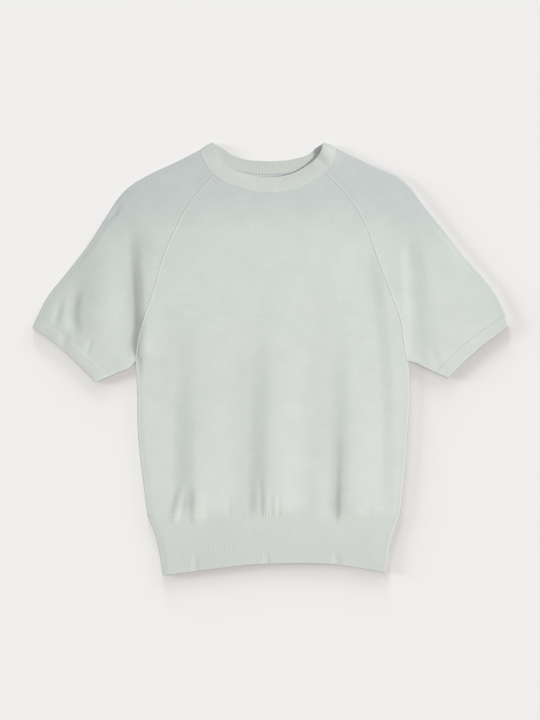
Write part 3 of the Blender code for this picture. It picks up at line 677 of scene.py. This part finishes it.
# the raglan and front neck seams' yarn is painted lighter than the knit: a painted highlight along their raised
# linking seams
paintedHighlightSeamLook = knitLook | {
    "wale": 0.9 * mm, "course": 2.2 * mm, "relief": 0.12 * mm,
    "light": (0.74, 0.765, 0.715), "dark": (0.69, 0.715, 0.665)}
# the band seams' yarn keeps about the knit's own colour, without the painted highlight
bandSeamLook = paintedHighlightSeamLook | {"light": (0.665, 0.695, 0.655), "dark": (0.60, 0.63, 0.595)}


def newGroup(name, inputs, outputs):
    tree = bpy.data.node_groups.new(name, "ShaderNodeTree")
    for key, value in inputs.items():  # a vector where no number is given
        kind = "NodeSocketVector" if value is None else "NodeSocketFloat"
        socket = tree.interface.new_socket(key, in_out="INPUT", socket_type=kind)
        if value is not None:
            socket.default_value = value
    for key in outputs:
        tree.interface.new_socket(key, in_out="OUTPUT", socket_type="NodeSocketFloat")
    return tree, tree.nodes.new("NodeGroupInput"), tree.nodes.new("NodeGroupOutput")


def feed(tree, node, inputs):  # each input takes another node's output or a plain value or colour
    for key, value in inputs.items():
        socket = node.inputs[key]
        if isinstance(value, bpy.types.NodeSocket):
            tree.links.new(value, socket)
        else:
            socket.default_value = (*value, 1.0) if socket.type == "RGBA" else value
    return node


def mathNode(tree, operation, *values, clamp=False):
    node = tree.nodes.new("ShaderNodeMath")
    node.operation = operation
    node.use_clamp = clamp
    return feed(tree, node, dict(enumerate(values))).outputs[0]


def noise(tree, vector, scale, detail, roughness=0.5):
    node = tree.nodes.new("ShaderNodeTexNoise")
    return feed(tree, node, {"Vector": vector, "Scale": scale, "Detail": detail,
                             "Roughness": roughness}).outputs["Fac"]


def stretched(tree, vector, scale):
    node = tree.nodes.new("ShaderNodeMapping")
    return feed(tree, node, {"Vector": vector, "Scale": scale}).outputs[0]


def knitLoopsGroup(form, look):  # columns of V-shaped loops, on a map in metres
    tree, given, result = newGroup("knitLoops", {
        "Map": None, "Wale": look["wale"], "Course": look["course"], "Wander": look["wander"]},
        ("Height", "Gap"))
    stray = noise(tree, given.outputs["Map"], form["wanderScale"], form["wanderDetail"])
    wander = mathNode(tree, "SUBTRACT", stray, 0.5)
    wander = mathNode(tree, "MULTIPLY", wander, given.outputs["Wander"])
    parts = feed(tree, tree.nodes.new("ShaderNodeSeparateXYZ"), {0: given.outputs["Map"]})
    wale = mathNode(tree, "DIVIDE", parts.outputs[0], given.outputs["Wale"])
    wale = mathNode(tree, "ADD", wale, wander)
    course = mathNode(tree, "DIVIDE", parts.outputs[1], given.outputs["Course"])
    fromMiddle = mathNode(tree, "SUBTRACT", mathNode(tree, "FRACT", wale), 0.5)
    leg = mathNode(tree, "MULTIPLY", mathNode(tree, "ABSOLUTE", fromMiddle), 2.0)
    legRound = mathNode(tree, "SINE", mathNode(tree, "MULTIPLY", leg, math.pi))
    climb = mathNode(tree, "MULTIPLY", leg, form["slant"])
    slanted = mathNode(tree, "ADD", mathNode(tree, "SUBTRACT", course, climb), wander)
    along = mathNode(tree, "ABSOLUTE", mathNode(
        tree, "SINE", mathNode(tree, "MULTIPLY", slanted, math.pi)))
    body = mathNode(tree, "MULTIPLY_ADD", mathNode(tree, "POWER", along, form["fullness"]),
                    1.0 - form["ends"], form["ends"])
    legForm = mathNode(tree, "POWER", legRound, form["fullness"])
    height = mathNode(tree, "MULTIPLY", legForm, body)
    filled = mathNode(tree, "MULTIPLY", height, form["gapWidth"])
    gap = mathNode(tree, "SUBTRACT", 1.0, filled, clamp=True)
    feed(tree, result, {"Height": height, "Gap": gap})
    return tree


def yarnToneGroup(form):  # mottling of the yarn, faint uneven courses and the fuzz of its fibres
    tree, given, result = newGroup("yarnTone", {"Map": None, "Place": None},
                                   ("Mottle", "Courses", "Fuzz"))
    fine = noise(tree, given.outputs["Map"], *form["fine"])
    broad = noise(tree, given.outputs["Place"], *form["broad"])
    broad = mathNode(tree, "MULTIPLY", broad, 1.0 - form["fineShare"])
    mottle = mathNode(tree, "MULTIPLY_ADD", fine, form["fineShare"], broad)
    rows = stretched(tree, given.outputs["Map"], form["courseScale"])
    courses = noise(tree, rows, *form["courses"])
    fuzz = noise(tree, given.outputs["Place"], *form["fuzz"])
    feed(tree, result, {"Mottle": mottle, "Courses": courses, "Fuzz": fuzz})
    return tree


def placed(tree, group, inputs):
    node = tree.nodes.new("ShaderNodeGroup")
    node.node_tree = group
    return feed(tree, node, inputs)


def mixed(tree, share, first, second):
    node = tree.nodes.new("ShaderNodeMix")
    node.data_type = "RGBA"  # its colours go in at 6 and 7 and come out at 2
    return feed(tree, node, {0: share, 6: first, 7: second}).outputs[2]


def ranged(tree, value, low, high):  # a noise value spread from low to high
    node = tree.nodes.new("ShaderNodeMapRange")
    least, most = yarnForm["spread"]
    return feed(tree, node, {"Value": value, "From Min": least, "From Max": most,
                             "To Min": low, "To Max": high}).outputs[0]


def newMaterial(name):
    material = bpy.data.materials.new(name)
    material.use_nodes = True
    tree = material.node_tree
    place = tree.nodes.new("ShaderNodeTexCoord").outputs["Object"]
    return material, tree, tree.nodes["Principled BSDF"], place


def yarnMaterial(name, look):
    material, tree, shader, place = newMaterial(name)
    knitMap = tree.nodes.new("ShaderNodeUVMap")
    knitMap.uv_map = "knit"
    loops = placed(tree, knitLoops, {"Map": knitMap.outputs[0], "Wale": look["wale"],
                                     "Course": look["course"], "Wander": look["wander"]})
    tone = placed(tree, yarnTone, {"Map": knitMap.outputs[0], "Place": place})
    mottle = ranged(tree, tone.outputs["Mottle"], 0.0, 1.0)
    colour = mixed(tree, mottle, look["dark"], look["light"])
    courses = ranged(tree, tone.outputs["Courses"], 0.0, look["courseShade"])
    colour = mixed(tree, courses, colour, look["dark"])
    # the gaps between the loops are mixed towards a dark colour: painted shade in the recesses of the knit
    gaps = mathNode(tree, "MULTIPLY", loops.outputs["Gap"], look["gapShade"])
    colour = mixed(tree, gaps, colour, look["paintedGapShade"])
    height = mathNode(tree, "MULTIPLY_ADD", tone.outputs["Fuzz"], look["fuzz"],
                      loops.outputs["Height"])
    bump = feed(tree, tree.nodes.new("ShaderNodeBump"), {
        "Strength": 1.0, "Distance": look["relief"], "Height": height})
    feed(tree, shader, {
        "Base Color": colour, "Roughness": ranged(tree, tone.outputs["Fuzz"], *look["roughness"]),
        "Normal": bump.outputs[0], "Metallic": 0.0, "Specular IOR Level": look["specular"],
        "Sheen Weight": look["sheen"], "Sheen Roughness": look["sheenRoughness"],
        "Sheen Tint": look["sheenTint"]})
    return material


# In each piece's values, cut is the width and length of its flat cut in metres, and area is that
# of the cloth itself in square metres
front = {"columns": 150, "sideRows": 92, "raglanRows": 112, "cut": (0.418, 0.528), "area": 0.180}
back = {"columns": 60, "sideRows": 40, "raglanRows": 48, "cut": (0.418, 0.543), "area": 0.185}


def bodyPanel(face, values, material):
    neckRow = neckPart(f"{face}Neck", "panel", values["columns"])
    sideRows, raglanRows = values["sideRows"], values["raglanRows"]
    sideRolls = {side: rolls(f"side_{side}", sideRows) for side in sides}
    rims = {}
    for side, neckEnd in zip(sides, (neckRow[0], neckRow[-1])):
        run = between(f"{face}Raglan_{side}", corner(f"side_{side}", -1), neckEnd, raglanRows)
        rims[side] = np.vstack((bases(sideRolls[side]), run[1:]))
    hemRow = between("hem", *corners("side"), values["columns"])
    rows = patch(hemRow, neckRow, rims["left"], rims["right"])
    lefts, rights = sideRolls["left"], sideRolls["right"]
    rows[0], lefts[0], rights[0] = seamRow(rows[0], lefts[0], rights[0], cloth["seamGap"] / 2)
    # The raglan and neck seams are one chain, moved in by half of the seams' gap
    chain = np.vstack((lefts[-1].tip(), rims["left"][sideRows:], neckRow[1:-1],
                       rims["right"][sideRows:][::-1], rights[-1].tip()))
    moved = movedAside(chain, -cloth["seamGap"] / 2)
    rows[sideRows:, 0] = moved[1:raglanRows + 2]
    rows[sideRows:, -1] = moved[-2:-raglanRows - 3:-1]
    rows[-1] = moved[raglanRows + 1:len(moved) - raglanRows - 1]
    lefts[-1] = lefts[-1].moved(chain[0], moved[0])
    rights[-1] = rights[-1].moved(chain[-1], moved[-1])
    for row in rows[sideRows + 1:]:  # nothing rolls along the raglans
        lefts.append(Roll(row[0], (0.0, 0.0)))
        rights.append(Roll(row[-1], (0.0, 0.0)))
    plan = layer(f"{face}_knit", rows, lefts, rights, face == "front", material,
                 cloth["plainWall"])
    return knitWall(plan, plan["flat"], cloth["plainRim"])


hem = {
    "ribs": 86, "cellsPerRib": 6, "rows": {"front": 26, "back": 12}, "ribHeight": 0.09 * mm,
    "ribPitch": 4.0 * mm, "rimRound": 0.55 * mm, "length": 84 * mm,
    "cut": (0.385, 0.092), "area": 0.0284,
}


def hemBand(face, material):
    lefts, rights = (rolls(f"hem_{side}", hem["rows"][face]) for side in sides)
    columns = hem["ribs"] * hem["cellsPerRib"]
    seam = between("hem", *corners("hem"), columns)
    edge = between("hemEdge", *corners("hem", -1), columns)
    rows = patch(seam, edge, bases(lefts), bases(rights))
    rows[0], lefts[0], rights[0] = seamRow(rows[0], lefts[0], rights[0], -cloth["seamGap"] / 2)
    plan = layer(f"hem_{face}_rib", rows, lefts, rights, face == "front", material,
                 cloth["ribWall"], hem)
    flat = alongRibs(plan, hem["ribs"] * hem["ribPitch"], hem["length"])
    return knitWall(plan, flat, hem["rimRound"])


sleeves = {
    "cells": {"front": (104, 14), "back": (44, 8)},  # along the raglan and over the shoulder
    "rings": 84, "turn": {"left": -33.5, "right": 36.0},  # degrees between the map and the wales
    "cut": (0.380, 0.375), "area": 0.074,
}


def sleeve(side, material):
    firsts, lasts = (rolls(f"{edge}_{side}", sleeves["rings"]) for edge in ("lower", "upper"))
    lowerEdge, upperEdge = bases(firsts), bases(lasts)
    layers = []
    for face, (cells, shoulderCells) in sleeves["cells"].items():
        shoulder = neckPart(f"{face}Neck", side, shoulderCells)
        if side == "left":
            shoulder = shoulder[::-1]
        seam = between(f"{face}Raglan_{side}", corner(f"side_{side}", -1), shoulder[0], cells)
        inner = np.vstack((seam, shoulder[1:]))
        outer = between(f"cuff_{side}", lowerEdge[-1], upperEdge[-1], len(inner) - 1)
        layers.append(patch(inner, outer, lowerEdge, upperEdge))
    inward = 1 if side == "left" else -1
    plan = tube(f"sleeve_{side}_knit", layers[0], layers[1], firsts, lasts,
                {0: inward, -1: -inward}, material, cloth["plainWall"])
    return knitWall(plan, turned(plan["flat"], sleeves["turn"][side]), cloth["plainRim"])


cuffs = {
    "ribs": 41, "backRibs": 36, "cellsPerRib": 6, "rings": 8, "ribHeight": 0.22 * mm,
    "ribPitch": 3.4 * mm, "rimRound": 0.85 * mm, "width": 16 * mm,
    "cut": (0.275, 0.020), "area": 0.0051,
}
neck = cuffs | {
    "ribs": 69, "backRibs": 50, "rings": 12, "ribHeight": 0.30 * mm, "width": 24 * mm,
    "cut": (0.500, 0.028), "area": 0.0103,
}


def ribbedTube(name, values, firsts, lasts, seamTables, edgeTables, inward, material, inside):
    lowerEdge, upperEdge = bases(firsts), bases(lasts)
    layers = []
    ribCounts = (values["ribs"], values["backRibs"])
    for seamTable, edgeTable, ribs in zip(seamTables, edgeTables, ribCounts):
        cells = ribs * values["cellsPerRib"]
        seam = between(seamTable, lowerEdge[0], upperEdge[0], cells)
        edge = between(edgeTable, lowerEdge[-1], upperEdge[-1], cells)
        layers.append(patch(seam, edge, lowerEdge, upperEdge))
    plan = tube(name, layers[0], layers[1], firsts, lasts, {0: inward}, material, cloth["ribWall"],
                values) | {"inside": inside}
    flat = alongRibs(plan, sum(ribCounts) * values["ribPitch"], values["width"])
    return knitWall(plan, flat, values["rimRound"])


def cuff(side, material, inside):
    return ribbedTube(f"cuff_{side}_rib", cuffs, rolls(f"cuff_lower_{side}", cuffs["rings"]),
                      rolls(f"cuff_upper_{side}", cuffs["rings"]), [f"cuff_{side}"] * 2,
                      [f"cuffEdge_{side}"] * 2, 1 if side == "left" else -1, material, inside)


def neckband(material, inside):
    return ribbedTube("neckband_rib", neck, rolls("neck_left", neck["rings"]),
                      rolls("neck_right", neck["rings"]), ("frontNeck", "backNeck"),
                      ("frontNeckEdge", "backNeckEdge"), 1, material, inside)


beads = {
    "pitch": 2.2 * mm, "cells": 4, "sides": 8,  # a stitch's length, and its faces along and round
    "halfWidth": 0.75 * mm, "halfHeight": 0.5 * mm, "swell": 0.16, "sway": 0.12 * mm,
    "drawnIn": 3 * mm,  # how far from its ends a bead narrows to a point
    "samples": 400,
    "sink": 0.05 * mm,  # how far a bead's middle lies under the front layer's face
    "bandSink": 0.32 * mm,  # the same at the hem and the cuffs
    "underside": 0.62 * mm,  # height of a bead's middle on the underside
    "inside": 1.55 * mm,  # the same inside the back of the neck
    "insideShare": (0.14, 0.86),  # how much of that seam shows
    "sideTurn": -32,  # degrees from the widest place of the side's roll
    "sideProud": 0.05 * mm,
}


def stitchBead(name, spine, upward, material):
    # A bead of linked stitches along a seam, drawn in to a point at each end
    along = lengthsAlong(spine)
    stitches = int(along[-1] / beads["pitch"])
    even = np.linspace(0.0, along[-1], stitches * beads["cells"] + 1)
    spine, upward = (np.column_stack([np.interp(even, along, part[:, axis]) for axis in range(3)])
                     for part in (spine, upward))
    upward = unit(upward)
    sideways = unit(np.cross(np.gradient(spine, axis=0), upward))
    wave = 2 * np.pi * even / beads["pitch"]
    swell = 1.0 + beads["swell"] * np.cos(wave)
    swell *= ease(np.minimum(even, even[-1] - even) / beads["drawnIn"])
    sway = beads["sway"] * np.sin(wave / 2)
    turn = np.linspace(0, 2 * np.pi, beads["sides"] + 1)[:-1]
    level = (np.cos(turn)[None] * beads["halfWidth"] + sway[:, None]) * swell[:, None]
    upright = np.sin(turn)[None] * (beads["halfHeight"] * swell)[:, None]
    points = (spine[:, None] + level[:, :, None] * sideways[:, None]
              + upright[:, :, None] * upward[:, None])
    edit = bmesh.new()
    place = placedGrid(edit, points, True)
    girth = 2 * np.pi * beads["halfWidth"]
    flat = np.stack(np.meshgrid(np.linspace(0, girth, beads["sides"] + 1), even), axis=2)
    mapFaces(edit, place, flat, beads["sides"], True)
    bmesh.ops.remove_doubles(edit, verts=edit.verts, dist=cloth["merge"])
    edit.verts.layers.int.remove(place)
    return asPiece(edit, name, material)


lit = bpy.data.collections.new("jumper")  # what the jumper's own lamps light
knitLoops, yarnTone = knitLoopsGroup(loopForm, knitLook), yarnToneGroup(yarnForm)
plainKnit = yarnMaterial("plainKnit", knitLook)
hemRib = yarnMaterial("hemRib", hemLook)
neckRib = yarnMaterial("neckRib", neckLook)
cuffRib = yarnMaterial("cuffRib", cuffLook)
ribInside = yarnMaterial("ribInside", insideLook)
paintedHighlightSeamYarn = yarnMaterial("paintedHighlightSeamYarn", paintedHighlightSeamLook)
bandSeamYarn = yarnMaterial("bandSeamYarn", bandSeamLook)
print("materials made")

made = {
    "front": bodyPanel("front", front, plainKnit),
    "back": bodyPanel("back", back, plainKnit),
    "sleeve_left": sleeve("left", plainKnit),
    "sleeve_right": sleeve("right", plainKnit),
    "cuff_left": cuff("left", cuffRib, ribInside),
    "cuff_right": cuff("right", cuffRib, ribInside),
    "hem_front": hemBand("front", hemRib),
    "hem_back": hemBand("back", hemRib),
    "neckband": neckband(neckRib, ribInside),
}
print("nine pieces of cloth made")


def seamSpine(table, start, stop, upper, sink=beads["sink"]):  # a bead's middle and upward way
    plan = between(table, start, stop, beads["samples"])
    height = topHeight(plan) - sink if upper else np.full(len(plan), beads["underside"])
    upward = np.tile((0.0, 0.0, 1.0), (len(plan), 1))
    return np.column_stack((plan, height)), upward


def seamRuns():  # each linked seam: its name, where it runs and the piece of cloth that it's on
    for face, upper in (("front", True), ("back", False)):
        neckRow = neckPart(f"{face}Neck", "panel", beads["samples"])
        for side, end in zip(sides, (neckRow[0], neckRow[-1])):
            yield (f"seam_raglan_{face}_{side}", f"sleeve_{side}",
                   seamSpine(f"{face}Raglan_{side}", corner(f"side_{side}", -1), end, upper))
            cuffEnds = [corner(f"cuff_{part}_{side}", 0) for part in ("lower", "upper")]
            yield (f"seam_cuff_{face}_{side}", f"cuff_{side}",
                   seamSpine(f"cuff_{side}", *cuffEnds, upper, beads["bandSink"]))
        yield (f"seam_hem_{face}", f"hem_{face}",
               seamSpine("hem", *corners("hem"), upper, beads["bandSink"]))
        yield f"seam_neck_{face}", "neckband", seamSpine(f"{face}Neck", *corners("neck"), upper)
    plan, upward = seamSpine("backNeck", *corners("neck"), False)
    shown = slice(*(int(share * beads["samples"]) for share in beads["insideShare"]))
    plan[:, 2] = beads["inside"]
    yield "seam_neck_back_inside", "neckband", (plan[shown], upward[shown])
    for side in sides:
        path, outward = edgePath(f"side_{side}", beads["samples"])
        turn = np.array([beads["sideTurn"]])
        inside = beads["halfHeight"] - beads["sideProud"]
        spine = np.vstack([Roll(point - cloth["roll"] * facing, facing).points(turn, inside)
                           for point, facing in zip(path, outward)])
        upward = np.column_stack((outward * np.cos(np.radians(turn)),
                                  np.full(len(path), np.sin(np.radians(turn)))))
        yield f"seam_side_{side}", "front", (spine, upward)


seamsOn = {node: [] for node in made}
for name, node, (spine, upward) in seamRuns():
    # the raglan and front neck seams take the yarn with the painted highlight
    yarn = paintedHighlightSeamYarn if "raglan" in name or name == "seam_neck_front" else bandSeamYarn
    seamsOn[node].append(stitchBead(name, spine, upward, yarn))
print("seams made")

cutOf = {"front": front, "back": back, "sleeve_left": sleeves, "sleeve_right": sleeves,
         "cuff_left": cuffs, "cuff_right": cuffs, "hem_front": hem, "hem_back": hem,
         "neckband": neck}
liesOn = {"front": ["back_knit"], "hem_front": ["hem_back_rib"]}
for node, piece in made.items():
    slot = "rib_knit" if "ribs" in cutOf[node] else "plain_knit"
    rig.ride(piece, "root")
    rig.replaces(piece, node)
    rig.slot(piece, slot)
    for bead in seamsOn[node]:
        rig.ride(bead, "root")
        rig.slot(bead, slot)
    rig.sheet(piece, flat=cutOf[node]["cut"], area=cutOf[node]["area"], held="laid",
             rests_on=liesOn.get(node, ["floor"]), with_pieces=seamsOn[node])

studio = {
    "floorHalf": 40.0, "floorDrop": 0.3 * mm, "floorRoughness": 0.95,
    "floorGrain": (3.0, 2.0),  # the noise's scale and detail
    "floorLight": (0.862, 0.815, 0.800), "floorDark": (0.852, 0.805, 0.790),
    "ambient": (0.385, 0.385, 0.385),
    "lens": 85.0, "sensor": 36.0, "aim": (-0.0012, -0.00195),
    "seen": 1.080,  # metres of floor from the picture's top to its bottom
}
# Lamps for the jumper and lamps for the floor: where each stands (compass degrees, elevation,
# metres), its radius in metres, its share of the light on a level place at its aim, and its colour.
# One without a distance is a sun, whose radius is in degrees. A pool also has its aim, its radius
# and the softness of its edge.
poolLamp = {"stand": (-45, 86, 5.0), "radius": 0.05, "colour": (1.0, 1.0, 0.98)}
lowSun = {"radius": 12, "colour": (0.88, 1.0, 1.02)}
lamps = {
    "jumper": {
        "key": {"stand": (-8, 30, 9.0), "radius": 1.1, "share": 0.477, "colour": (1.0, 1.0, 0.99)},
        "cool": {"stand": (95, 30, 6.0), "radius": 2.0, "share": 0.07,
                 "colour": (0.72, 0.90, 1.30)},
        "lowerPool": poolLamp | {
            "radius": 0.03, "share": 0.095, "colour": (1.0, 0.98, 0.58),
            "aim": (0.0, -1.30, 0.0), "poolRadius": 1.505, "edge": 0.03},
        "rightPool": poolLamp | {
            "share": 0.046, "aim": (0.5, -0.1, 0.0), "poolRadius": 0.80, "edge": 0.10},
        "yokePool": poolLamp | {
            "share": 0.05, "aim": (0.03, -0.02, 0.0), "poolRadius": 0.31, "edge": 0.35},
        "leftPool": poolLamp | {
            "share": 0.05, "aim": (-0.44, -0.22, 0.0), "poolRadius": 0.335, "edge": 0.12},
    },
    "floor": {
        "floorHigh": {"stand": (135, 80), "radius": 50, "share": 0.285,
                      "colour": (1.0, 0.995, 1.0)},
        "floorMiddle": lowSun | {"stand": (120, 20), "radius": 16, "share": 0.09},
        "floorTop": lowSun | {"stand": (95, 8), "share": 0.11},
        "floorLeft": lowSun | {"stand": (170, 8), "share": 0.14},
        "floorRight": lowSun | {"stand": (50, 9), "share": 0.05},
    },
}


def makeFloor():
    edit = bmesh.new()
    bmesh.ops.create_grid(edit, x_segments=1, y_segments=1, size=studio["floorHalf"])
    bmesh.ops.translate(edit, verts=edit.verts, vec=(0.0, 0.0, -studio["floorDrop"]))
    material, tree, shader, place = newMaterial("palePaper")
    grain = noise(tree, place, *studio["floorGrain"])
    colour = mixed(tree, grain, studio["floorDark"], studio["floorLight"])
    feed(tree, shader, {"Base Color": colour, "Roughness": studio["floorRoughness"],
                        "Specular IOR Level": 0.0})
    floor = inScene("floor", meshFrom(edit, "floor", material))
    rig.stage(floor)
    return floor


ground = bpy.data.collections.new("ground")
ground.objects.link(makeFloor())


def standLamp(name, lamp, receivers):
    compass, elevation = map(math.radians, lamp["stand"][:2])
    away = Vector((math.cos(compass) * math.cos(elevation),
                   math.sin(compass) * math.cos(elevation), math.sin(elevation)))
    kind = "SUN" if len(lamp["stand"]) < 3 else "SPOT" if "poolRadius" in lamp else "POINT"
    light = bpy.data.lights.new(name, kind)
    light.energy = lamp["share"] * math.pi / math.sin(elevation)
    light.color = lamp["colour"]
    shining = inScene(name, light)
    shining.rotation_euler = away.to_track_quat("Z", "Y").to_euler()
    if kind == "SUN":
        light.angle = math.radians(lamp["radius"])
    else:
        distance = lamp["stand"][2]
        light.energy *= 4 * math.pi * distance**2
        light.shadow_soft_size = lamp["radius"]
        shining.location = Vector(lamp.get("aim", (0, 0, 0))) + distance * away
    if kind == "SPOT":
        light.spot_size = 2 * math.atan(lamp["poolRadius"] / distance)
        light.spot_blend = lamp["edge"]
    shining.light_linking.receiver_collection = receivers


for receivers, group in ((lit, lamps["jumper"]), (ground, lamps["floor"])):
    for name, lamp in group.items():
        standLamp(name, lamp, receivers)

world = bpy.data.worlds.new("studio")
world.use_nodes = True
feed(world.node_tree, world.node_tree.nodes["Background"], {"Color": studio["ambient"]})
bpy.context.scene.world = world
bpy.context.scene.view_settings.view_transform = "Standard"

lens = bpy.data.cameras.new("camera")
lens.lens = studio["lens"]
lens.sensor_width = studio["sensor"]
camera = inScene("camera", lens)
camera.location = (*studio["aim"], studio["seen"] * studio["lens"] / studio["sensor"])
bpy.context.scene.camera = camera
print("floor, lights and camera made")

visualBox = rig.bounds()
with open("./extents.json", "w") as sizes:
    json.dump({"cad": [list(corner) for corner in cadBox],
               "visual": [list(corner) for corner in visualBox]}, sizes)
